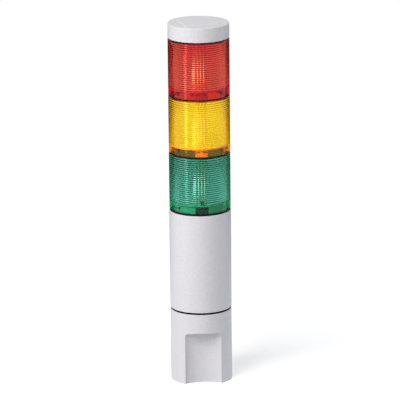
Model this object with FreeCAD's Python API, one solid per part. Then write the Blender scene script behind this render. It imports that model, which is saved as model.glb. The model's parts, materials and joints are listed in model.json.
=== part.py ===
import FreeCAD, Part
import math
import os

# A modular signal tower: a foot, a tall housing, three coloured light modules and a cap.
# Each unit locks on the one below it with a three-lug bayonet and a short clockwise twist.
# Millimetres. +Z is up, the origin is the centre of the foot's underside and the recess
# in the front of the foot faces -Y.

# ---- driving dimensions -------------------------------------------------------------

# the stack, from seam to seam
base_height = 86.0
housing_height = 116.7
module_pitch = 66.3
cap_height = 16.9
lens_diameter = 70.0
housing_oversize = 0.6
base_undersize = 0.4
base_draft = 0.6
thick_seal = 2.2
thin_seal = 1.3
seal_inset = 0.5
edge_rounding = 0.5
edge_break = 0.4

# the bayonet that every seam shares
skirt_wall = 2.2
skirt_height = 10.0
lug_reach = 2.1
lug_clearance = 0.4
neck_wall = 2.0
neck_rise = 7.7
shoulder_thickness = 2.6
lug_count = 3
lug_span = 19.0
unlock_angle = 22.0
neck_lug_height = 2.0
skirt_lug_height = 2.2
lug_play = 0.2
stop_span = 3.0
stop_gap = 0.6
keyway_width = 14.7
front = 270.0

# the lens
rib_crest_wall = 3.4
rib_depth = 1.1
rib_pitch = 4.4
rib_margin = 3.0

# the foot
base_wall = 3.2
base_floor = 4.0
recess_width = 41.2
recess_depth = 12.6
recess_height = 60.3
recess_arch = 1.4
recess_back_radius = 44.0
recess_corner = 3.4
cable_hole = 20.0
cable_bore = 12.0
grommet_recess = 1.5
grommet_lip = 2.7
insert_circle = 50.0
insert_count = 4
insert_diameter = 5.9
insert_bore = 3.3
insert_length = 8.0
insert_clearance = 0.05
boss_diameter = 12.0
boss_height = 14.0
gusset_thickness = 2.0

# the housing and what it carries
housing_wall = 2.8
ledge_height = 2.0
deck_thickness = 1.7
deck_clearance = 0.3
deck_cable_hole = 18.0
deck_hole_offset = 14.0
board_width = 46.0
board_height = 84.0
board_thickness = 1.6
board_offset = 12.0
board_corner = 3.0
capacitor_diameter = 12.5
capacitor_height = 25.0
terminal_count = 6
terminal_pitch = 6.5
terminal_depth = 13.0
terminal_height = 17.0
terminal_rise = 8.0
terminal_screw_diameter = 4.0
terminal_wire_hole = 2.8

# the lamp and the contacts
carrier_hole = 19.2
window_margin = 1.0
stem_slot_margin = 2.0
socket_diameter = 19.0
socket_flange = 25.0
socket_flange_height = 1.5
socket_depth = 10.5
socket_rise = 3.5
socket_floor = 1.5
lamp_base_diameter = 15.2
lamp_base_height = 15.3
lamp_pin_diameter = 2.0
lamp_pin_reach = 1.1
lamp_pin_height = 6.5
bulb_diameter = 16.0
bulb_height = 21.5
bulb_throat = 13.6
socket_clearance = 0.2
conductor_count = 4
conductor_width = 2.2
conductor_pitch = 3.4
conductor_thickness = 0.6
conductor_inset = 6.3
contact_gap = 0.3
finger_thickness = 0.8
finger_drop = 5.9
block_clearance = 0.3
block_rise = 4.5
conductor_tail = 13.5
crossbar_width = 12.0
crossbar_bottom = 6.1
crossbar_height = 1.5
stem_width = 3.4
stem_depth = 3.2
stem_rise = 15.0

# the cap
cap_top = 2.4
cap_rounding = 1.2
panel_side = 42.0
panel_step = 1.0
panel_taper = 1.0
panel_corner = 2.0
panel_turn = 10.5

# ---- sizes that follow --------------------------------------------------------------

housing_seam = base_height
green_seam = housing_seam + housing_height
amber_seam = green_seam + module_pitch
red_seam = amber_seam + module_pitch
cap_seam = red_seam + module_pitch

lens_radius = lens_diameter / 2
housing_radius = (lens_diameter + housing_oversize) / 2
base_top_radius = housing_radius - base_undersize / 2
base_foot_radius = base_top_radius + base_draft / 2
skirt_radius = lens_radius - skirt_wall
neck_radius = skirt_radius - lug_clearance - lug_reach
neck_bore_radius = neck_radius - neck_wall
neck_lug_radius = neck_radius + lug_reach
conductor_radius = neck_radius - conductor_inset
skirt_lug_radius = skirt_radius - lug_reach
crest_radius = lens_radius - rib_crest_wall
lug_step = 360.0 / lug_count
first_lug = front + lug_step / 2
deck_radius = skirt_radius - deck_clearance

axis_point = FreeCAD.Vector(0, 0, 0)
axis_up = FreeCAD.Vector(0, 0, 1)
same_point = 1e-6


# ---- shapes that the sub-parts share ------------------------------------------------

def at_angle(radius, angle, z):
    turn = math.radians(angle)
    return FreeCAD.Vector(radius * math.cos(turn), radius * math.sin(turn), z)


def disc(radius, bottom, top):
    return Part.makeCylinder(radius, top - bottom, FreeCAD.Vector(0, 0, bottom))


def ring(inner, outer, bottom, top):
    return disc(outer, bottom, top).cut(disc(inner, bottom, top))


def box(x_low, x_high, y_low, y_high, z_low, z_high):
    corner = FreeCAD.Vector(x_low, y_low, z_low)
    return Part.makeBox(x_high - x_low, y_high - y_low, z_high - z_low, corner)


def outline(corners):
    """A closed wire through (radius, height) corners. A third number rounds a corner."""
    points = [FreeCAD.Vector(corner[0], 0, corner[1]) for corner in corners]
    roundings = [corner[2] if len(corner) > 2 else 0 for corner in corners]
    entries = []
    exits = []
    arcs = []
    for index, point in enumerate(points):
        following = points[(index + 1) % len(points)]
        back = (points[index - 1] - point).normalize()
        onward = (following - point).normalize()
        half = back.getAngle(onward) / 2
        reach = roundings[index] / math.tan(half)
        entries.append(point + back * reach)
        exits.append(point + onward * reach)
        inward = (back + onward).normalize() if roundings[index] else FreeCAD.Vector()
        arcs.append(point + inward * (roundings[index] / math.sin(half) - roundings[index]))
    edges = []
    for index in range(len(points)):
        if roundings[index]:
            edges.append(Part.Arc(entries[index], arcs[index], exits[index]).toShape())
        onward_end = entries[(index + 1) % len(points)]
        if exits[index].distanceToPoint(onward_end) > same_point:
            edges.append(Part.makeLine(exits[index], onward_end))
    return Part.Wire(edges)


def revolved(corners):
    """Turn a closed outline about the axis."""
    return Part.Face(outline(corners)).revolve(axis_point, axis_up, 360)


def sector(inner, outer, bottom, top, start, end):
    """An upright piece of a ring, from one angle to another, in degrees."""
    middle = (start + end) / 2
    outside = Part.Arc(at_angle(outer, start, bottom), at_angle(outer, middle, bottom),
                       at_angle(outer, end, bottom)).toShape()
    inside = Part.Arc(at_angle(inner, end, bottom), at_angle(inner, middle, bottom),
                      at_angle(inner, start, bottom)).toShape()
    side_a = Part.makeLine(at_angle(outer, end, bottom), at_angle(inner, end, bottom))
    side_b = Part.makeLine(at_angle(inner, start, bottom), at_angle(outer, start, bottom))
    wire = Part.Wire([outside, side_a, inside, side_b])
    return Part.Face(wire).extrude(FreeCAD.Vector(0, 0, top - bottom))


def joined(first, others):
    return first.fuse(others).removeSplitter()


def half_angle(width, radius):
    return math.degrees(math.asin(width / 2 / radius))


# ---- the bayonet --------------------------------------------------------------------

def neck(shoulder, seam):
    """The spigot on top of a unit: three hooked lugs and a keyway at the front."""
    top = seam + neck_rise
    wall = ring(neck_bore_radius, neck_radius, shoulder - shoulder_thickness, top)
    lugs = []
    for index in range(lug_count):
        centre = first_lug + index * lug_step
        lug_end = centre + lug_span / 2
        stop_end = centre - lug_span / 2 - stop_gap
        stop_start = stop_end - stop_span
        inside = neck_radius - neck_wall / 2
        lugs.append(sector(inside, neck_lug_radius, top - neck_lug_height, top, stop_start, lug_end))
        lugs.append(sector(inside, neck_lug_radius, seam + lug_play, top, stop_start, stop_end))
    keyway = box(-keyway_width / 2, keyway_width / 2, -neck_lug_radius, -neck_bore_radius / 2,
                 shoulder, top)
    return joined(wall, lugs).cut(keyway)


def skirt_lugs(seam):
    """The three lugs inside a skirt, which sit under those of the neck when locked."""
    top = seam + neck_rise - neck_lug_height - lug_play
    outside = skirt_radius + lug_reach / 2
    lugs = []
    for index in range(lug_count):
        centre = first_lug + index * lug_step
        lugs.append(sector(skirt_lug_radius, outside, top - skirt_lug_height, top,
                           centre - lug_span / 2, centre + lug_span / 2))
    return lugs


def seal(seam, thickness):
    return ring(neck_radius + block_clearance, lens_radius - seal_inset, seam - thickness, seam)


# ---- the foot -----------------------------------------------------------------------

def recess(grow):
    """The hollow in the front of the foot, larger by grow on every side."""
    back = -(base_top_radius - recess_depth) + grow
    arc_radius = recess_back_radius + grow
    arc_centre = back - arc_radius
    side = recess_width / 2 + grow
    side_y = arc_centre + math.sqrt(arc_radius ** 2 - side ** 2)
    outside = -2 * base_foot_radius
    below = -base_floor
    above = recess_height + recess_arch + 2 * base_wall
    plan = Part.Wire([
        Part.Arc(FreeCAD.Vector(-side, side_y, below), FreeCAD.Vector(0, back, below),
                 FreeCAD.Vector(side, side_y, below)).toShape(),
        Part.makeLine(FreeCAD.Vector(side, side_y, below), FreeCAD.Vector(side, outside, below)),
        Part.makeLine(FreeCAD.Vector(side, outside, below), FreeCAD.Vector(-side, outside, below)),
        Part.makeLine(FreeCAD.Vector(-side, outside, below), FreeCAD.Vector(-side, side_y, below)),
    ])
    hollow = Part.Face(plan).extrude(FreeCAD.Vector(0, 0, above - below))

    top = recess_height + grow
    corner = recess_corner + grow
    diagonal = corner * (1 - math.sqrt(0.5))
    crown = top + recess_arch
    front_view = Part.Wire([
        Part.makeLine(FreeCAD.Vector(-side, outside, below), FreeCAD.Vector(side, outside, below)),
        Part.makeLine(FreeCAD.Vector(side, outside, below),
                      FreeCAD.Vector(side, outside, top - corner)),
        Part.Arc(FreeCAD.Vector(side, outside, top - corner),
                 FreeCAD.Vector(side - diagonal, outside, top - diagonal),
                 FreeCAD.Vector(side - corner, outside, top)).toShape(),
        Part.Arc(FreeCAD.Vector(side - corner, outside, top), FreeCAD.Vector(0, outside, crown),
                 FreeCAD.Vector(corner - side, outside, top)).toShape(),
        Part.Arc(FreeCAD.Vector(corner - side, outside, top),
                 FreeCAD.Vector(diagonal - side, outside, top - diagonal),
                 FreeCAD.Vector(-side, outside, top - corner)).toShape(),
        Part.makeLine(FreeCAD.Vector(-side, outside, top - corner),
                      FreeCAD.Vector(-side, outside, below)),
    ])
    doorway = Part.Face(front_view).extrude(FreeCAD.Vector(0, 2 * base_foot_radius, 0))
    return hollow.common(doorway)


def turned_half(shape):
    other = shape.copy()
    other.rotate(axis_point, axis_up, 180)
    return other


def insert_angles():
    step = 360.0 / insert_count
    return [step / 2 + index * step for index in range(insert_count)]


def base_shell():
    foot = base_foot_radius
    top = base_top_radius
    shoulder = housing_seam - thick_seal
    ceiling = shoulder - shoulder_thickness
    body = revolved([(0, 0), (foot, 0), (top, shoulder, edge_rounding), (0, shoulder)])
    cavity = revolved([(0, base_floor), (foot - base_wall, base_floor), (top - base_wall, ceiling),
                       (0, ceiling)])
    wall_round_recess = recess(base_wall)
    cavity = cavity.cut([wall_round_recess, turned_half(wall_round_recess)])
    front_recess = recess(0)
    shell = body.cut([cavity, front_recess, turned_half(front_recess),
                      disc(neck_bore_radius, ceiling, shoulder)])

    bosses = []
    holes = [disc(cable_hole / 2, 0, base_floor),
             disc(cable_hole / 2 + grommet_lip, 0, grommet_recess)]
    for angle in insert_angles():
        centre = at_angle(insert_circle / 2, angle, 0)
        bosses.append(Part.makeCylinder(boss_diameter / 2, boss_height, centre))
        wall_x = math.copysign(math.sqrt((top - base_wall / 2) ** 2 - centre.y ** 2), centre.x)
        bosses.append(box(min(centre.x, wall_x), max(centre.x, wall_x),
                          centre.y - gusset_thickness / 2, centre.y + gusset_thickness / 2,
                          0, boss_height))
        holes.append(Part.makeCylinder(insert_diameter / 2 + insert_clearance, insert_length,
                                       centre))
    return joined(shell, bosses + [neck(shoulder, housing_seam)]).cut(holes)


def cable_grommet():
    """A rubber bush clipped into the floor, its lower lip sunk above the mounting face."""
    lip = cable_hole / 2 + grommet_lip - block_clearance
    waist = cable_hole / 2 - block_clearance / 2
    bottom = block_clearance
    top = base_floor + grommet_recess
    bore = cable_bore / 2
    return revolved([(bore, bottom), (lip, bottom), (lip, grommet_recess), (waist, grommet_recess),
                     (waist, base_floor), (lip, base_floor), (waist, top), (bore, top)])


def threaded_inserts():
    inserts = []
    for angle in insert_angles():
        centre = at_angle(insert_circle / 2, angle, 0)
        sleeve = Part.makeCylinder(insert_diameter / 2, insert_length, centre)
        inserts.append(sleeve.cut(Part.makeCylinder(insert_bore / 2, insert_length, centre)))
    return Part.makeCompound(inserts)


# ---- the housing --------------------------------------------------------------------

def housing():
    outer = housing_radius
    inner = outer - housing_wall
    floor = housing_seam + skirt_height
    shoulder = green_seam - thick_seal
    ceiling = shoulder - shoulder_thickness
    tube = revolved([
        (skirt_radius, housing_seam), (outer, housing_seam, edge_rounding),
        (outer, shoulder, edge_rounding), (neck_bore_radius, shoulder),
        (neck_bore_radius, ceiling), (inner, ceiling), (inner, floor + ledge_height),
        (crest_radius, floor + ledge_height), (crest_radius, floor), (skirt_radius, floor),
    ])
    return joined(tube, skirt_lugs(housing_seam) + [neck(shoulder, green_seam)])


def housing_deck():
    """The floor of the housing, pushed up under its ledge, with a hole for the cable."""
    top = housing_seam + skirt_height
    plate = disc(deck_radius, top - deck_thickness, top)
    cable = Part.makeCylinder(deck_cable_hole / 2, deck_thickness,
                              FreeCAD.Vector(0, -deck_hole_offset, top - deck_thickness))
    return plate.cut(cable)


def circuit_board():
    """An upright board that stands on the deck."""
    bottom = housing_seam + skirt_height
    board = box(-board_width / 2, board_width / 2, board_offset, board_offset + board_thickness,
                bottom, bottom + board_height)
    corners = [edge for edge in board.Edges
               if abs(edge.BoundBox.YLength - board_thickness) < same_point
               and edge.BoundBox.ZMax > bottom + board_height - same_point]
    return board.makeChamfer(board_corner, corners)


def board_capacitor():
    """A can that lies against the board, standing on the deck behind it."""
    bottom = housing_seam + skirt_height
    centre = FreeCAD.Vector(0, board_offset + board_thickness + capacitor_diameter / 2, bottom)
    return Part.makeCylinder(capacitor_diameter / 2, capacitor_height, centre)


def terminal_positions():
    middle = (terminal_count - 1) / 2
    return [(index - middle) * terminal_pitch for index in range(terminal_count)]


def terminal_bottom():
    return housing_seam + skirt_height + board_height / 2


def terminal_block():
    """A row of screw terminals on the front of the board, wires from below."""
    half = terminal_count * terminal_pitch / 2
    bottom = terminal_bottom()
    top = bottom + terminal_height
    front_face = board_offset - terminal_depth
    step = terminal_depth / 3
    side_view = Part.makePolygon([
        FreeCAD.Vector(-half, board_offset, bottom), FreeCAD.Vector(-half, front_face, bottom),
        FreeCAD.Vector(-half, front_face, top - terminal_rise),
        FreeCAD.Vector(-half, front_face + step, top),
        FreeCAD.Vector(-half, board_offset, top), FreeCAD.Vector(-half, board_offset, bottom),
    ])
    block = Part.Face(side_view).extrude(FreeCAD.Vector(2 * half, 0, 0))
    screw_z = bottom + (terminal_height - terminal_rise) / 2
    cuts = []
    for x in terminal_positions():
        cuts.append(Part.makeCylinder(terminal_screw_diameter / 2 + block_clearance / 2,
                                      terminal_depth / 2, FreeCAD.Vector(x, front_face, screw_z),
                                      FreeCAD.Vector(0, 1, 0)))
        cuts.append(Part.makeCylinder(terminal_wire_hole / 2, terminal_height / 2,
                                      FreeCAD.Vector(x, front_face + step, bottom)))
    return block.cut(cuts)


def terminal_screws():
    """Slotted clamp screws, one in each well of the terminal block."""
    front_face = board_offset - terminal_depth
    screw_z = terminal_bottom() + (terminal_height - terminal_rise) / 2
    length = terminal_depth / 3
    head = front_face + terminal_depth / 2 - length
    slot = terminal_screw_diameter / 5
    screws = []
    for x in terminal_positions():
        shank = Part.makeCylinder(terminal_screw_diameter / 2, length,
                                  FreeCAD.Vector(x, head, screw_z), FreeCAD.Vector(0, 1, 0))
        screws.append(shank.cut(box(x - terminal_screw_diameter, x + terminal_screw_diameter,
                                    head, head + slot, screw_z - slot / 2, screw_z + slot / 2)))
    return Part.makeCompound(screws)


# ---- the contacts at each seam ------------------------------------------------------

def contact_block(seam, thickness, has_stem):
    """The moulding in a neck's keyway that holds the ends of the conductors."""
    shoulder = seam - thickness
    half = half_angle(keyway_width - 2 * block_clearance, neck_radius)
    outside = neck_radius - block_clearance
    inside = conductor_radius + conductor_thickness
    block = sector(inside, outside, shoulder, seam + block_rise, front - half, front + half)
    bar_half = half_angle(crossbar_width, outside)
    stem_half = half_angle(stem_width, outside)
    stem_inside = outside - stem_depth
    bar_top = seam + crossbar_bottom + crossbar_height
    stem_top = seam + stem_rise if has_stem else bar_top
    crossbar = sector(stem_inside, outside, seam + crossbar_bottom, bar_top,
                      front - bar_half, front + bar_half)
    stem = sector(stem_inside, outside, seam, stem_top, front - stem_half, front + stem_half)
    return joined(block, [crossbar, stem])


def conductor_angles():
    step = math.degrees(conductor_pitch / conductor_radius)
    middle = (conductor_count - 1) / 2
    return [front + (index - middle) * step for index in range(conductor_count)]


def conductors(bottom, top, finger_bottom=None):
    """Brass strips up to a contact block. Those of a light module step inwards through
    the carrier and end in fingers that press on the strips of the unit below."""
    half = math.degrees(conductor_width / 2 / conductor_radius)
    outside = conductor_radius + conductor_thickness
    finger_outside = conductor_radius - contact_gap
    finger_inside = finger_outside - finger_thickness
    strips = []
    for angle in conductor_angles():
        strip = sector(conductor_radius, outside, bottom, top, angle - half, angle + half)
        if finger_bottom is not None:
            foot = sector(finger_inside, outside, bottom, bottom + conductor_thickness,
                          angle - half, angle + half)
            finger = sector(finger_inside, finger_outside, finger_bottom,
                            bottom + conductor_thickness, angle - half, angle + half)
            strip = joined(strip, [foot, finger])
        strips.append(strip)
    return Part.makeCompound(strips)


# ---- a light module -----------------------------------------------------------------

def lens(seam):
    """A coloured lens in one moulding: skirt, ring-ribbed wall, shoulder and neck."""
    shoulder = seam + module_pitch - thin_seal
    ceiling = shoulder - shoulder_thickness
    ledge = seam + skirt_height
    rib_count = int((ceiling - rib_margin / 2 - ledge) // rib_pitch)
    root_radius = crest_radius + rib_depth
    profile = [(skirt_radius, seam), (lens_radius - edge_break, seam),
               (lens_radius, seam + edge_break), (lens_radius, shoulder - edge_break),
               (lens_radius - edge_break, shoulder), (neck_bore_radius, shoulder),
               (neck_bore_radius, ceiling), (crest_radius, ceiling)]
    for index in reversed(range(rib_count)):
        base = ledge + index * rib_pitch
        profile.append((crest_radius, base + rib_pitch))
        profile.append((root_radius, base + rib_pitch / 2))
    profile.append((crest_radius, ledge))
    profile.append((skirt_radius, ledge))
    return joined(revolved(profile),
                  skirt_lugs(seam) + [neck(shoulder, seam + module_pitch)])


def carrier(seam):
    """The plate under the lamp, pushed up under the first rib of the lens."""
    top = seam + skirt_height
    bottom = top - deck_thickness
    plate = disc(deck_radius, bottom, top)
    finger_outside = conductor_radius - contact_gap
    finger_inside = finger_outside - finger_thickness
    span = conductor_angles()[-1] - conductor_angles()[0] + 2 * half_angle(conductor_width,
                                                                          finger_inside)
    window = sector(finger_inside - block_clearance, finger_outside + contact_gap / 2, bottom, top,
                    front - span / 2 - window_margin, front + span / 2 + window_margin)
    stem_outside = neck_radius - block_clearance
    stem_half = half_angle(stem_width, stem_outside - stem_depth) + stem_slot_margin
    slot = sector(stem_outside - stem_depth - block_clearance, stem_outside + block_clearance,
                  bottom, top, front - unlock_angle - stem_half, front + stem_half)
    return plate.cut([disc(carrier_hole / 2, bottom, top), window, slot])


def lamp_socket(seam):
    """A bayonet lamp socket that hangs by its flange in the carrier."""
    rest = seam + skirt_height
    outer = socket_diameter / 2
    inner = lamp_base_diameter / 2 + socket_clearance
    bottom = rest - socket_depth
    top = rest + socket_rise
    cup = revolved([(0, bottom), (outer, bottom), (outer, rest), (socket_flange / 2, rest),
                    (socket_flange / 2, rest + socket_flange_height),
                    (outer, rest + socket_flange_height), (outer, top), (inner, top),
                    (inner, bottom + socket_floor), (0, bottom + socket_floor)])
    slot_half = lamp_pin_diameter / 2 + socket_clearance
    pin_z = bottom + socket_floor + lamp_pin_height
    slot_end = outer + lamp_pin_reach
    slot = box(-slot_end, slot_end, -slot_half, slot_half, pin_z - slot_half, top)
    return cup.cut(slot)


def lamp_base(seam):
    """The metal shell of the lamp, with its two locking pins."""
    bottom = seam + skirt_height - socket_depth + socket_floor
    radius = lamp_base_diameter / 2
    reach = radius + lamp_pin_reach
    shell = disc(radius, bottom, bottom + lamp_base_height)
    pins = Part.makeCylinder(lamp_pin_diameter / 2, 2 * reach,
                             FreeCAD.Vector(-reach, 0, bottom + lamp_pin_height),
                             FreeCAD.Vector(1, 0, 0))
    return joined(shell, [pins])


def lamp_bulb(seam):
    """A frosted bulb, sealed, with a domed end."""
    bottom = seam + skirt_height - socket_depth + socket_floor + lamp_base_height
    top = bottom + bulb_height
    radius = bulb_diameter / 2
    return revolved([(0, bottom), (bulb_throat / 2, bottom), (radius, bottom + radius / 2),
                     (radius, top, radius), (0, top)])


# ---- the cap ------------------------------------------------------------------------

def panel(bottom, side, top, top_side):
    """A low square plateau with rounded corners and sloping edges."""
    wires = []
    for z, width in ((bottom, side), (top, top_side)):
        half = width / 2
        inner = half - panel_corner
        edges = []
        for quarter in range(4):
            turn = math.radians(90 * quarter)

            def point(x, y):
                return FreeCAD.Vector(x * math.cos(turn) - y * math.sin(turn),
                                      x * math.sin(turn) + y * math.cos(turn), z)
            bulge = inner + panel_corner * math.sqrt(0.5)
            edges.append(Part.makeLine(point(half, -inner), point(half, inner)))
            edges.append(Part.Arc(point(half, inner), point(bulge, bulge),
                                  point(inner, half)).toShape())
        wires.append(Part.Wire(edges))
    plateau = Part.makeLoft(wires, True, True)
    plateau.rotate(axis_point, axis_up, panel_turn)
    return plateau


def cap():
    """The lid: skirt with lugs, a rounded rim and a raised square on top."""
    top = cap_seam + cap_height
    ceiling = top - cap_top
    lid = revolved([(0, ceiling), (skirt_radius, ceiling), (skirt_radius, cap_seam),
                    (lens_radius, cap_seam, edge_rounding), (lens_radius, top, cap_rounding),
                    (0, top)])
    raised = panel(top - cap_top / 2, panel_side + panel_taper * cap_top / panel_step,
                   top + panel_step, panel_side - 2 * panel_taper)
    return joined(lid, skirt_lugs(cap_seam) + [raised])


# ---- the whole stack ----------------------------------------------------------------

def light_module(colour, seam):
    top_seam = seam + module_pitch
    carrier_top = seam + skirt_height
    return {
        colour + "_lens": lens(seam),
        colour + "_carrier": carrier(seam),
        colour + "_lamp_socket": lamp_socket(seam),
        colour + "_lamp_base": lamp_base(seam),
        colour + "_lamp_bulb": lamp_bulb(seam),
        colour + "_contact_block": contact_block(top_seam, thin_seal, False),
        colour + "_conductors": conductors(carrier_top, top_seam + block_rise,
                                           carrier_top - deck_thickness - finger_drop),
    }


def all_nodes():
    nodes = {
        "base_shell": base_shell(),
        "cable_grommet": cable_grommet(),
        "threaded_inserts": threaded_inserts(),
        "housing_seal": seal(housing_seam, thick_seal),
        "housing": housing(),
        "housing_deck": housing_deck(),
        "circuit_board": circuit_board(),
        "board_capacitor": board_capacitor(),
        "terminal_block": terminal_block(),
        "terminal_screws": terminal_screws(),
        "housing_contact_block": contact_block(green_seam, thick_seal, True),
        "housing_conductors": conductors(green_seam - conductor_tail, green_seam + block_rise),
        "green_seal": seal(green_seam, thick_seal),
        "amber_seal": seal(amber_seam, thin_seal),
        "red_seal": seal(red_seam, thin_seal),
        "cap_seal": seal(cap_seam, thin_seal),
        "cap": cap(),
    }
    for colour, seam in (("green", green_seam), ("amber", amber_seam), ("red", red_seam)):
        nodes.update(light_module(colour, seam))
    return nodes


os.makedirs("parts", exist_ok=True)
for name, shape in all_nodes().items():
    shape.exportStep("parts/" + name + ".step")
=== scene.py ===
import json
import math

import bmesh
import bpy
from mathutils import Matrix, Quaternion, Vector

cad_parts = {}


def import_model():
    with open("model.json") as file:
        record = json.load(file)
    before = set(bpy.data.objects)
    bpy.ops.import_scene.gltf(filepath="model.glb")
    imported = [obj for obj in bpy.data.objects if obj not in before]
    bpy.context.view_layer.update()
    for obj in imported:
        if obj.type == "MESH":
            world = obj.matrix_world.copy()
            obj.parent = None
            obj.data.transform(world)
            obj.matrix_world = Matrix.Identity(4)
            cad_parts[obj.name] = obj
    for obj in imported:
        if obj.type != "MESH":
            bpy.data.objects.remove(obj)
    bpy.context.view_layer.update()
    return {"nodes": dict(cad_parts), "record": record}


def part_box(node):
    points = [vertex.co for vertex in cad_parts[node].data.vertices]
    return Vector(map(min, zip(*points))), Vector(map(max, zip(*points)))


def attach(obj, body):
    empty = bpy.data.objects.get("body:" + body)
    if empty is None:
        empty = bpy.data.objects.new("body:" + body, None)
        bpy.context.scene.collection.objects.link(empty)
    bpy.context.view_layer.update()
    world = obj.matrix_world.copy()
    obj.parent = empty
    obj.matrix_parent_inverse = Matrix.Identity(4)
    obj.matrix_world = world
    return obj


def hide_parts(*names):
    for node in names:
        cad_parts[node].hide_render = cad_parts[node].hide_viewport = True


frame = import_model()
scene = bpy.context.scene
scene.view_settings.view_transform = "Standard"

MM = 0.001
COLOURS = ("green", "amber", "red")

# The lens in millimetres and degrees, with heights from the seam below it. These sizes
# are the ones in the part's source.
PITCH = 66.3
SEAL = 1.3
LENS_RADIUS = 35.0
SKIRT_RADIUS = 32.8
SKIRT_HEIGHT = 10.0
LUG_INNER = 30.7
LUG_HEIGHT = 2.2
NECK_RADIUS = 30.3
NECK_BORE = 28.3
NECK_LUG = 32.4
NECK_LUG_HEIGHT = 2.0
NECK_RISE = 7.7
LUG_PLAY = 0.2
KEYWAY = 14.7
LUG_SPAN = 19.0
STOP_SPAN = 3.0
STOP_GAP = 0.6
FRONT = 270.0
LUG_CENTRES = (330.0, 90.0, 210.0)
CREST = 31.6

# These are the scene's own: more and finer ribs than in the source, and a thinner shoulder
# above them.
EDGE = 0.45
SHOULDER = 1.6
RIBS = 22
RIB_DEPTH = 0.9
RIB_MARGIN = 0.2
RIB_PITCH = (PITCH - SEAL - SHOULDER - SKIRT_HEIGHT - RIB_MARGIN) / RIBS

# How finely the lens is cut.
RIB_STEPS = 8
EDGE_STEPS = 4
EDGE_TURN = 30          # between two points of a rounded edge
SECTIONS = 180
SECTION_GAP = 0.4       # no even section lies nearer to a step in the outline
PROBE = 0.01            # how far beside a step the outline is looked up
SHARP = 28              # an edge is sharp from this angle on

# Where the tint of a lens changes, and with it the highlights and shade painted along its
# ribs.
LINE_RISE = 0.2         # how far the lines sit above the ribs
CREST_SHARE = 0.15      # the crest's tint reaches this share of the pitch from its middle
GROOVE_SHARE = 0.36     # the groove's tint starts at this share
UPPER_START = 28.0      # the crests' tint goes over to upper between these heights
UPPER_END = 58.0
WALL_MIDDLE = 33.8      # a radius between the ribs and the outside


# ---- nodes --------------------------------------------------------------------------

def cleared(owner):
    """The empty node tree of a new material or world."""
    owner.use_nodes = True
    owner.node_tree.nodes.clear()
    return owner.node_tree


def feed(tree, socket, value):
    """Links the socket to another node's output, or sets it to a number or colour."""
    if isinstance(value, bpy.types.NodeSocket):
        tree.links.new(value, socket)
    elif socket.type == "RGBA":
        socket.default_value = (*value, 1)
    else:
        socket.default_value = value


def calculated(tree, operation, *values):
    """The result of this operation on numbers or other nodes' outputs."""
    node = tree.nodes.new("ShaderNodeMath")
    node.operation = operation
    for socket, value in zip(node.inputs, values):
        feed(tree, socket, value)
    return node.outputs[0]


def eased(tree, value, start, end, low=0.0, high=1.0):
    """Goes smoothly from low to high while the value goes from start to end."""
    node = tree.nodes.new("ShaderNodeMapRange")
    node.interpolation_type = "SMOOTHSTEP"
    settings = {"Value": value, "From Min": start, "From Max": end, "To Min": low,
                "To Max": high}
    for name, setting in settings.items():
        feed(tree, node.inputs[name], setting)
    return node.outputs["Result"]


def mixed(tree, share, first, second):
    """The first colour where the share is 0, and the second where it is 1."""
    node = tree.nodes.new("ShaderNodeMix")
    node.data_type = "RGBA"
    for name, value in (("Factor", share), ("A", first), ("B", second)):
        feed(tree, node.inputs[name], value)
    return node.outputs["Result"]


def length(tree, vector):
    node = tree.nodes.new("ShaderNodeVectorMath")
    node.operation = "LENGTH"
    tree.links.new(vector, node.inputs[0])
    return node.outputs["Value"]


def object_place(tree):
    return tree.nodes.new("ShaderNodeTexCoord").outputs["Object"]


def seen_rays(tree):
    """1 for what the camera sees, straight or in gloss or glass, and 0 for other light."""
    path = tree.nodes.new("ShaderNodeLightPath")
    straight_or_gloss = calculated(tree, "MAXIMUM", path.outputs["Is Camera Ray"],
                                   path.outputs["Is Glossy Ray"])
    return calculated(tree, "MAXIMUM", straight_or_gloss,
                      path.outputs["Is Transmission Ray"])


def show(tree, surface, volume=None):
    """The material's output."""
    output = tree.nodes.new("ShaderNodeOutputMaterial")
    tree.links.new(surface, output.inputs["Surface"])
    if volume:
        tree.links.new(volume, output.inputs["Volume"])


def principled(name, settings):
    """A new material and its one Principled shader, with these settings."""
    made = bpy.data.materials.new(name)
    tree = cleared(made)
    shader = tree.nodes.new("ShaderNodeBsdfPrincipled")
    for socket, value in settings.items():
        feed(tree, shader.inputs[socket], value)
    return made, tree, shader


# ---- opaque materials ---------------------------------------------------------------

def noise(tree, scale):
    """Soft noise that is fixed to the object."""
    node = tree.nodes.new("ShaderNodeTexNoise")
    node.inputs["Scale"].default_value = scale
    node.inputs["Detail"].default_value = 3.0
    tree.links.new(object_place(tree), node.inputs["Vector"])
    return node.outputs["Fac"]


def grain(tree, shader, scale, height, rounding=0.0):
    """The surface's fine grain, and a small radius on sharp edges."""
    bump = tree.nodes.new("ShaderNodeBump")
    bump.inputs["Distance"].default_value = height
    tree.links.new(noise(tree, scale), bump.inputs["Height"])
    if rounding:
        bevel = tree.nodes.new("ShaderNodeBevel")
        bevel.samples = 6
        bevel.inputs["Radius"].default_value = rounding
        tree.links.new(bevel.outputs["Normal"], bump.inputs["Normal"])
    tree.links.new(bump.outputs["Normal"], shader.inputs["Normal"])


def mottled(tree, shader, colour, spread, scale):
    """A colour that drifts over the surface by the share spread, darker and lighter."""
    ramp = tree.nodes.new("ShaderNodeValToRGB")
    dark, light = ramp.color_ramp.elements
    dark.position = 0.35
    light.position = 0.65
    dark.color = (*[part * (1 - spread) for part in colour], 1)
    light.color = (*[min(1, part * (1 + spread)) for part in colour], 1)
    tree.links.new(noise(tree, scale), ramp.inputs["Fac"])
    tree.links.new(ramp.outputs["Color"], shader.inputs["Base Color"])


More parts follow.
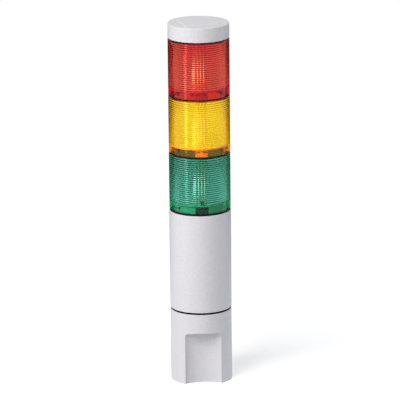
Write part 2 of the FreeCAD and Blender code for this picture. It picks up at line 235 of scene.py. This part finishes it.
def moulded(name, colour, roughness, grain_scale=1500.0, grain_height=0.00001, rounding=0.0,
            spread=0.0, spread_scale=900.0, specular=0.5, glow=0.0):
    """Plastic, rubber or glass with its skin from the mould. Lengths are in metres."""
    made, tree, shader = principled(name, {
        "Base Color": colour, "Roughness": roughness, "Specular IOR Level": specular,
        "Emission Color": colour, "Emission Strength": glow})
    if spread:
        mottled(tree, shader, colour, spread, spread_scale)
    grain(tree, shader, grain_scale, grain_height, rounding)
    show(tree, shader.outputs["BSDF"])
    return made


def metal(name, colour, roughness):
    """Metal with a fine grain."""
    made, tree, shader = principled(name, {
        "Base Color": colour, "Metallic": 1.0, "Roughness": roughness})
    grain(tree, shader, scale=1500.0, height=0.00001)
    show(tree, shader.outputs["BSDF"])
    return made


def bulb_glass(name, colour, glow):
    """Frosted glass that glows a little."""
    return moulded(name, colour, 0.25, grain_scale=900.0, glow=glow)


# ---- lens materials -----------------------------------------------------------------

def wall_tint_with_painted_ribs(tree, place, height, seam, smooth, groove_shade, crest_highlight, upper_shade):
    """The tint of a lens above its skirt. The outside has the one tint smooth. Inside,
    light and shade are painted along the ribs: a painted shade between two of them and a
    painted highlight at the middle of each, which goes over to a darker painted shade
    towards the top of the lens."""
    ribs_start = SKIRT_HEIGHT + LINE_RISE
    along = calculated(tree, "WRAP", height, seam + (ribs_start + RIB_PITCH) * MM,
                       seam + ribs_start * MM)
    middle = seam + (ribs_start + 0.5 * RIB_PITCH) * MM
    from_crest = calculated(tree, "ABSOLUTE", calculated(tree, "SUBTRACT", along, middle))
    crest_share = eased(tree, from_crest, CREST_SHARE * RIB_PITCH * MM,
                        GROOVE_SHARE * RIB_PITCH * MM, low=1.0, high=0.0)
    upper_share = eased(tree, height, seam + UPPER_START * MM, seam + UPPER_END * MM)
    crests = mixed(tree, upper_share, crest_highlight, upper_shade)
    ribs = mixed(tree, crest_share, groove_shade, crests)
    flat = tree.nodes.new("ShaderNodeVectorMath")
    flat.operation = "MULTIPLY"
    flat.inputs[1].default_value = (1, 1, 0)
    tree.links.new(place, flat.inputs[0])
    outside = calculated(tree, "GREATER_THAN", length(tree, flat.outputs[0]),
                         WALL_MIDDLE * MM)
    return mixed(tree, outside, ribs, smooth)


def tinted(colour, seam, loss, pass_on, gloss, smooth, groove_shade, crest_highlight, upper_shade, skirt, neck):
    """Clear plastic dyed right through. loss is what it takes from red, green and blue
    light over one metre, so thin walls look paler than thick ones. pass_on is what each
    face lets through from the lamps, and gloss the tint of its reflections. The surface is
    tinted darker at the bottom and on top, a painted shade where the lens and the part next
    to it overlap, and between them takes the wall's tint, with its painted highlights and
    painted shade along the ribs."""
    made, tree, shader = principled(colour + "_lens", {
        "Transmission Weight": 1.0, "IOR": 1.35, "Specular IOR Level": 0.3,
        "Specular Tint": gloss, "Roughness": 0.0})
    place = object_place(tree)
    split = tree.nodes.new("ShaderNodeSeparateXYZ")
    tree.links.new(place, split.inputs["Vector"])
    height = split.outputs["Z"]
    wall = wall_tint_with_painted_ribs(tree, place, height, seam, smooth, groove_shade, crest_highlight, upper_shade)
    # Painted shade: below the skirt's top and above the shoulder the surface takes the
    # darker skirt and neck tints.
    over_skirt = calculated(tree, "GREATER_THAN", height, seam + SKIRT_HEIGHT * MM)
    over_shoulder = calculated(tree, "GREATER_THAN", height, seam + (PITCH - SEAL) * MM)
    lower = mixed(tree, over_skirt, skirt, wall)
    feed(tree, shader.inputs["Base Color"], mixed(tree, over_shoulder, lower, neck))

    dye = tree.nodes.new("ShaderNodeVolumeAbsorption")
    density = max(loss)
    dye.inputs["Color"].default_value = (*[1 - part / density for part in loss], 1)
    dye.inputs["Density"].default_value = density
    path = tree.nodes.new("ShaderNodeLightPath")
    clear = tree.nodes.new("ShaderNodeBsdfTransparent")
    clear.inputs["Color"].default_value = (*pass_on, 1)
    both = tree.nodes.new("ShaderNodeMixShader")
    tree.links.new(path.outputs["Is Shadow Ray"], both.inputs["Fac"])
    tree.links.new(shader.outputs["BSDF"], both.inputs[1])
    tree.links.new(clear.outputs["BSDF"], both.inputs[2])
    show(tree, both.outputs[0], dye.outputs["Volume"])
    return made


# ---- which piece has which material -------------------------------------------------

seams = {colour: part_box(colour + "_lens")[0].z for colour in COLOURS}

# Besides the dye, each lens has tints that paint light: along the inner ribs a painted
# shade between ribs, a painted highlight on each crest and a darker painted shade on the
# crests towards the top; and a painted shade on the skirt and neck, where the lens and the
# part next to it overlap.
lens_tints = {
    "green": {
        "loss": (110, 52, 75), "pass_on": (0.85, 0.95, 0.92), "gloss": (0.8, 0.95, 0.9),
        "smooth": (0.22, 0.75, 0.63), "groove_shade": (0.0, 0.06, 0.04),
        "crest_highlight": (0.85, 0.96, 0.98), "upper_shade": (0.34, 0.40, 0.36),
        "skirt": (0.06, 0.56, 0.32), "neck": (1.0, 0.50, 0.38)},
    "amber": {
        "loss": (8, 53, 600), "pass_on": (0.98, 0.95, 0.6), "gloss": (1.0, 0.9, 0.7),
        "smooth": (0.97, 0.94, 0.9), "groove_shade": (0.92, 0.82, 0.32),
        "crest_highlight": (1.0, 1.0, 0.9), "upper_shade": (1.0, 1.0, 0.8),
        "skirt": (1.0, 0.55, 0.4), "neck": (0.9, 0.5, 0.4)},
    "red": {
        "loss": (30, 170, 260), "pass_on": (0.97, 0.75, 0.6), "gloss": (1.0, 0.75, 0.75),
        "smooth": (0.92, 0.36, 0.44), "groove_shade": (0.48, 0.0, 0.10),
        "crest_highlight": (1.0, 1.0, 0.75), "upper_shade": (0.94, 0.20, 0.42),
        "skirt": (0.76, 0.08, 0.26), "neck": (0.9, 0.3, 0.3)},
}
lens_materials = {colour: tinted(colour, seams[colour], **lens_tints[colour])
                  for colour in COLOURS}
bulbs = {
    "green": bulb_glass("bulb_glass_cool", (0.88, 0.92, 0.92), glow=1.1),
    "amber": bulb_glass("bulb_glass_dim", (0.85, 0.80, 0.70), glow=0.45),
    "red": bulb_glass("bulb_glass_warm", (0.64, 0.95, 0.48), glow=1.7),
}
by_slot = {
    "white_shell": moulded("white_shell", (0.67, 0.66, 0.69), 0.45, grain_scale=2600.0,
                           grain_height=0.00002, rounding=0.0006, spread=0.06),
    "seal_rubber": moulded("seal_rubber", (0.004, 0.004, 0.005), 0.7,
                           grain_height=0.00003, specular=0.1),
    "grommet_rubber": moulded("grommet_rubber", (0.02, 0.02, 0.02), 0.6,
                              grain_height=0.00003),
    "carrier_plastic": moulded("carrier_plastic", (0.70, 0.70, 0.68), 0.5),
    "socket_plastic": moulded("socket_plastic", (0.76, 0.75, 0.70), 0.5),
    "black_plastic": moulded("black_plastic", (0.02, 0.02, 0.022), 0.45),
    "block_plastic": moulded("block_plastic", (0.70, 0.55, 0.28), 0.45),
    "board_laminate": moulded("board_laminate", (0.04, 0.20, 0.09), 0.35),
    "capacitor_can": moulded("capacitor_can", (0.06, 0.07, 0.12), 0.35),
    "terminal_plastic": moulded("terminal_plastic", (0.06, 0.26, 0.12), 0.45),
    "contact_brass": metal("contact_brass", (0.95, 0.80, 0.50), 0.5),
    "insert_brass": metal("insert_brass", (0.76, 0.56, 0.24), 0.35),
    "lamp_metal": metal("lamp_metal", (0.78, 0.75, 0.70), 0.30),
    "screw_steel": metal("screw_steel", (0.68, 0.68, 0.68), 0.35),
}
by_node = {colour + "_lens": lens_materials[colour] for colour in COLOURS}
by_node |= {colour + "_lamp_bulb": bulbs[colour] for colour in COLOURS}
for row in frame["record"]["subparts"]:
    node = frame["nodes"][row["node"]]
    node.data.materials.clear()
    node.data.materials.append(by_node.get(row["node"]) or by_slot[row["material_slot"]])


# ---- the lenses ---------------------------------------------------------------------

HALF_KEY = math.degrees(math.asin(KEYWAY / 2 / NECK_RADIUS))

# For each lug, where its stop starts and ends and where the lug itself does.
LUGS = [(centre - LUG_SPAN / 2 - STOP_GAP - STOP_SPAN, centre - LUG_SPAN / 2 - STOP_GAP,
         centre - LUG_SPAN / 2, centre + LUG_SPAN / 2) for centre in LUG_CENTRES]


def within(angle, start, end):
    return (angle - start) % 360.0 <= (end - start) + 1e-6


def rounded_edge(height, first):
    """The points of an outer edge, round a centre at this height, from the first angle."""
    turns = [math.radians(first + EDGE_TURN * step) for step in range(EDGE_STEPS)]
    return [(LENS_RADIUS - EDGE + EDGE * math.cos(turn), height + EDGE * math.sin(turn))
            for turn in turns]


def lens_section(angle, side):
    """The lens cut at one angle. side is -1 just before a step in the outline and 1 just
    after it. Every section has the same number of points."""
    probe = angle + side * PROBE
    in_skirt_lug = any(within(probe, start, end) for _, _, start, end in LUGS)
    in_neck_lug = any(within(probe, stop_end, end) for _, stop_end, _, end in LUGS)
    in_stop = any(within(probe, start, stop_end) for start, stop_end, _, _ in LUGS)
    in_key = within(probe, FRONT - HALF_KEY, FRONT + HALF_KEY)
    top = PITCH + NECK_RISE
    shoulder = PITCH - SEAL
    ceiling = shoulder - SHOULDER

    points = [(SKIRT_RADIUS, 0.0)]
    points += rounded_edge(EDGE, 270)
    points += rounded_edge(shoulder - EDGE, 0)
    if in_key:
        points += [(NECK_RADIUS, shoulder)] * 4 + [(NECK_BORE, shoulder)] * 2
    else:
        reach = NECK_LUG if in_neck_lug or in_stop else NECK_RADIUS
        under = PITCH + LUG_PLAY if in_stop else top - NECK_LUG_HEIGHT
        points += [(NECK_RADIUS, shoulder), (NECK_RADIUS, under), (reach, under),
                   (reach, top), (NECK_RADIUS, top), (NECK_BORE, top)]
    points += [(NECK_BORE, ceiling), (CREST, ceiling)]
    for index in reversed(range(RIBS)):
        base = SKIRT_HEIGHT + index * RIB_PITCH
        for step in range(RIB_STEPS):
            share = 1 - step / RIB_STEPS
            bulge = 4 * share * (1 - share)
            points.append((CREST + RIB_DEPTH * (1 - bulge), base + share * RIB_PITCH))
    lug_top = NECK_RISE - NECK_LUG_HEIGHT - LUG_PLAY
    lug_base = lug_top - LUG_HEIGHT
    reach = LUG_INNER if in_skirt_lug else SKIRT_RADIUS
    points += [(CREST, SKIRT_HEIGHT), (SKIRT_RADIUS, SKIRT_HEIGHT), (SKIRT_RADIUS, lug_top),
               (reach, lug_top), (reach, lug_base), (SKIRT_RADIUS, lug_base)]
    return points


def lens_angles():
    """Even steps round the lens, and each step of the lugs and keyway from both sides."""
    breaks = [FRONT - HALF_KEY, FRONT + HALF_KEY]
    for limits in LUGS:
        breaks += limits
    breaks = [limit % 360.0 for limit in breaks]
    found = [(limit, side) for limit in breaks for side in (-1, 1)]
    for index in range(SECTIONS):
        angle = index * 360.0 / SECTIONS
        if all(abs((angle - limit + 180) % 360 - 180) > SECTION_GAP for limit in breaks):
            found.append((angle, 0))
    return sorted(found)


def placed(name, mesh, material):
    """A new piece of the scene with this mesh and material."""
    mesh.materials.append(material)
    piece = bpy.data.objects.new(name, mesh)
    scene.collection.objects.link(piece)
    return piece


def lens(colour):
    """The module's lens as one closed mesh, with finer ribs than the solid's."""
    vertices = []
    rows = []
    for angle, side in lens_angles():
        turn = math.radians(angle)
        section = lens_section(angle, side)
        rows.append(range(len(vertices), len(vertices) + len(section)))
        vertices += [(radius * MM * math.cos(turn), radius * MM * math.sin(turn),
                      seams[colour] + z * MM) for radius, z in section]
    faces = []
    for index, row in enumerate(rows):
        following = rows[(index + 1) % len(rows)]
        for at in range(len(row)):
            after = (at + 1) % len(row)
            faces.append((row[at], following[at], following[after], row[after]))
    mesh = bpy.data.meshes.new(colour + "_ribbed_lens")
    mesh.from_pydata(vertices, [], faces)
    work = bmesh.new()
    work.from_mesh(mesh)
    bmesh.ops.remove_doubles(work, verts=work.verts, dist=1e-6)
    bmesh.ops.dissolve_degenerate(work, edges=work.edges, dist=1e-7)
    bmesh.ops.recalc_face_normals(work, faces=work.faces)
    work.to_mesh(mesh)
    work.free()
    for face in mesh.polygons:
        face.use_smooth = True
    mesh.set_sharp_from_angle(angle=math.radians(SHARP))
    piece = placed(colour + "_ribbed_lens", mesh, lens_materials[colour])
    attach(piece, colour)
    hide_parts(colour + "_lens")


for colour in COLOURS:
    lens(colour)


# ---- floor, light and camera, in metres and degrees ---------------------------------

def direction(azimuth, elevation):
    """Out from the tower's axis. Azimuth is from the front, to the right as the camera
    sees it."""
    turn = math.radians(azimuth)
    rise = math.radians(elevation)
    return Vector((math.sin(turn) * math.cos(rise), -math.cos(turn) * math.cos(rise),
                   math.sin(rise)))


def floor(reach, colour, glow, fade_start, fade_end):
    """A pale floor that takes the tower's shadow and fades to plain white around it. glow
    is the white that seen rays add to the floor's own light."""
    material = bpy.data.materials.new("floor")
    tree = cleared(material)
    matt = tree.nodes.new("ShaderNodeBsdfDiffuse")
    matt.inputs["Color"].default_value = (*colour, 1)
    lift = tree.nodes.new("ShaderNodeEmission")
    feed(tree, lift.inputs["Strength"], calculated(tree, "MULTIPLY", seen_rays(tree), glow))
    near = tree.nodes.new("ShaderNodeAddShader")
    tree.links.new(matt.outputs[0], near.inputs[0])
    tree.links.new(lift.outputs[0], near.inputs[1])
    far = eased(tree, length(tree, object_place(tree)), fade_start, fade_end)
    plain = tree.nodes.new("ShaderNodeEmission")
    fade = tree.nodes.new("ShaderNodeMixShader")
    feed(tree, fade.inputs["Fac"], calculated(tree, "MULTIPLY", far, seen_rays(tree)))
    tree.links.new(near.outputs[0], fade.inputs[1])
    tree.links.new(plain.outputs[0], fade.inputs[2])
    show(tree, fade.outputs[0])

    mesh = bpy.data.meshes.new("floor")
    mesh.from_pydata([(-reach, -reach, 0), (reach, -reach, 0), (reach, reach, 0),
                      (-reach, reach, 0)], [], [(0, 1, 2, 3)])
    placed("floor", mesh, material)


def world(light):
    """Plain light from all round, and white for seen rays."""
    made = bpy.data.worlds.new("studio")
    tree = cleared(made)
    ground = tree.nodes.new("ShaderNodeBackground")
    ground.inputs["Color"].default_value = (1.0, 1.0, 1.0, 1)
    level = tree.nodes.new("ShaderNodeMapRange")
    level.inputs["To Min"].default_value = light
    tree.links.new(seen_rays(tree), level.inputs["Value"])
    tree.links.new(level.outputs["Result"], ground.inputs["Strength"])
    output = tree.nodes.new("ShaderNodeOutputWorld")
    tree.links.new(ground.outputs[0], output.inputs["Surface"])
    scene.world = made


def lamp(name, azimuth, elevation, distance, width, height, watts, colour=(1, 1, 1),
         aim=0.22):
    """A softbox that looks at the tower at the height aim."""
    away = direction(azimuth, elevation)
    data = bpy.data.lights.new(name, "AREA")
    data.shape = "RECTANGLE"
    data.size = width
    data.size_y = height
    data.energy = watts
    data.color = colour
    made = bpy.data.objects.new(name, data)
    made.location = Vector((0, 0, aim)) + away * distance
    made.rotation_mode = "QUATERNION"
    made.rotation_quaternion = away.to_track_quat("Z", "Y")
    made.visible_camera = False
    scene.collection.objects.link(made)


def flag(name, start, end, radius, bottom, top, steps=12):
    """A dark curved card beside the tower, seen only in gloss, which draws the lenses'
    edges. It reaches from azimuth start to end."""
    vertices = []
    for index in range(steps + 1):
        turn = math.radians(start + (end - start) * index / steps)
        x = radius * math.sin(turn)
        y = -radius * math.cos(turn)
        vertices += [(x, y, bottom), (x, y, top)]
    faces = [(2 * i, 2 * i + 2, 2 * i + 3, 2 * i + 1) for i in range(steps)]
    mesh = bpy.data.meshes.new(name)
    mesh.from_pydata(vertices, [], faces)
    material, tree, shader = principled(name, {
        "Base Color": (0.05, 0.05, 0.05), "Specular IOR Level": 0.0})
    show(tree, shader.outputs["BSDF"])
    piece = placed(name, mesh, material)
    piece.visible_camera = False
    piece.visible_diffuse = False
    piece.visible_transmission = False
    piece.visible_shadow = False


def camera(azimuth, elevation, distance, aim, roll, focal_length):
    """Looks at the tower's axis at the height aim, and is rolled about its own line of
    sight. The focal length is in millimetres."""
    away = direction(azimuth, elevation)
    data = bpy.data.cameras.new("camera")
    data.lens = focal_length
    data.sensor_width = 36.0
    data.clip_start = 0.1
    data.clip_end = 60.0
    made = bpy.data.objects.new("camera", data)
    made.location = Vector((0, 0, aim)) + away * distance
    made.rotation_mode = "QUATERNION"
    made.rotation_quaternion = (away.to_track_quat("Z", "Y")
                                @ Quaternion((0, 0, 1), math.radians(roll)))
    scene.collection.objects.link(made)
    scene.camera = made


floor(reach=12.0, colour=(0.80, 0.80, 0.81), glow=0.5, fade_start=0.2, fade_end=0.9)
world(light=0.25)
lamp("key", azimuth=-44, elevation=42, distance=2.2, width=1.4, height=1.2, watts=43,
     colour=(1.0, 0.99, 0.975))
lamp("rim", azimuth=100, elevation=20, distance=2.2, width=0.8, height=1.2, watts=14,
     colour=(0.82, 0.91, 1.0))
lamp("strip", azimuth=-58, elevation=0, distance=0.6, width=0.1, height=0.34, watts=0.28,
     aim=0.175)
flag("flag_left", start=-174, end=-112, radius=0.5, bottom=0.001, top=0.35)
flag("flag_right", start=112, end=174, radius=0.5, bottom=0.001, top=0.35)
camera(azimuth=-4.5, elevation=14.77, distance=4.408, aim=0.2107, roll=-0.56,
       focal_length=347.2)
